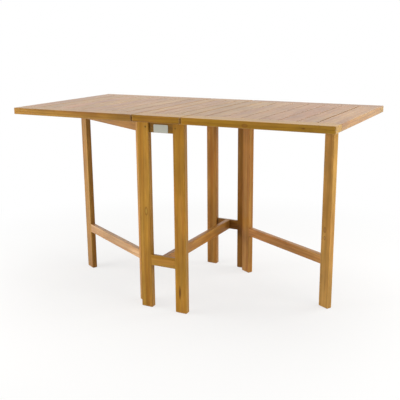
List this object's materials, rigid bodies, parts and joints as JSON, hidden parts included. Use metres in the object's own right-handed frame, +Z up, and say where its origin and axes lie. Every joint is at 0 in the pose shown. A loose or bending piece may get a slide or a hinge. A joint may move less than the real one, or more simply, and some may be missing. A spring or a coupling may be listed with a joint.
{
  "type": "gateleg drop-leaf garden table",
  "caption": "Slatted teak garden table with a narrow fixed centre, hinged drop leaves and swinging gate legs that fold flat against the stand.",
  "frame": {"origin": "on the ground under the middle of the top", "axes": "+X along the table's length, +Y across it towards the back, +Z up"},
  "size_m": [1.3, 0.65, 0.745],
  "materials": {
    "top_teak": "oiled teak, planed and sanded, eased arrises",
    "stand_teak": "oiled teak, planed and sanded, eased arrises",
    "gate_teak": "oiled teak, planed and sanded, eased arrises",
    "peg_teak": "end grain of a dark peg, flush",
    "hinge_brass": "rolled brass, dulled outdoors",
    "screw_brass": "turned brass, countersunk"
  },
  "bodies": {
    "stand": {"back_left_post": "stand_teak", "back_lower_rail": "stand_teak", "back_right_post": "stand_teak", "back_upper_rail": "stand_teak", "centre_back_rail": "top_teak", "centre_front_rail": "top_teak", "centre_hinge_plates": "hinge_brass", "centre_left_stile": "top_teak", "centre_right_stile": "top_teak", "centre_slat_1": "top_teak", "centre_slat_2": "top_teak", "fixed_hinge_screws": "screw_brass", "front_left_post": "stand_teak", "front_lower_rail": "stand_teak", "front_right_post": "stand_teak", "front_upper_rail": "stand_teak", "hinge_pins": "hinge_brass", "post_hinge_plates": "hinge_brass", "stand_pegs": "peg_teak", "stretcher": "stand_teak"},
    "right_leaf": {"right_gate_stop": "top_teak", "right_leaf_back_rail": "top_teak", "right_leaf_batten": "top_teak", "right_leaf_front_rail": "top_teak", "right_leaf_hinge_plates": "hinge_brass", "right_leaf_hinge_screws": "screw_brass", "right_leaf_inner_stile": "top_teak", "right_leaf_outer_stile": "top_teak", "right_leaf_slat_1": "top_teak", "right_leaf_slat_2": "top_teak", "right_leaf_slat_3": "top_teak", "right_leaf_slat_4": "top_teak", "right_leaf_slat_5": "top_teak", "right_leaf_slat_6": "top_teak"},
    "left_leaf": {"left_gate_stop": "top_teak", "left_leaf_back_rail": "top_teak", "left_leaf_batten": "top_teak", "left_leaf_front_rail": "top_teak", "left_leaf_hinge_plates": "hinge_brass", "left_leaf_hinge_screws": "screw_brass", "left_leaf_inner_stile": "top_teak", "left_leaf_outer_stile": "top_teak", "left_leaf_slat_1": "top_teak", "left_leaf_slat_2": "top_teak", "left_leaf_slat_3": "top_teak", "left_leaf_slat_4": "top_teak", "left_leaf_slat_5": "top_teak", "left_leaf_slat_6": "top_teak"},
    "right_gate": {"right_gate_hinge_plates": "hinge_brass", "right_gate_hinge_screws": "screw_brass", "right_gate_leg": "gate_teak", "right_gate_lower_rail": "gate_teak", "right_gate_stile": "gate_teak", "right_gate_upper_rail": "gate_teak"},
    "left_gate": {"left_gate_hinge_plates": "hinge_brass", "left_gate_hinge_screws": "screw_brass", "left_gate_leg": "gate_teak", "left_gate_lower_rail": "gate_teak", "left_gate_stile": "gate_teak", "left_gate_upper_rail": "gate_teak"}
  },
  "joints": [
    {"name": "right_gate_swing", "type": "hinge", "parent": "stand", "child": "right_gate", "pos_m": [0.097, 0.267, 0.44], "axis": [0, 0, -1], "range_deg": [0, 61.5]},
    {"name": "left_gate_swing", "type": "hinge", "parent": "stand", "child": "left_gate", "pos_m": [-0.097, -0.267, 0.44], "axis": [0, 0, -1], "range_deg": [0, 61.5]},
    {"name": "right_leaf_lift", "type": "hinge", "parent": "stand", "child": "right_leaf", "pos_m": [0.1, 0, 0.717], "axis": [0, -1, 0], "range_deg": [0, 7]},
    {"name": "left_leaf_lift", "type": "hinge", "parent": "stand", "child": "left_leaf", "pos_m": [-0.1, 0, 0.717], "axis": [0, 1, 0], "range_deg": [0, 7]}
  ]
}
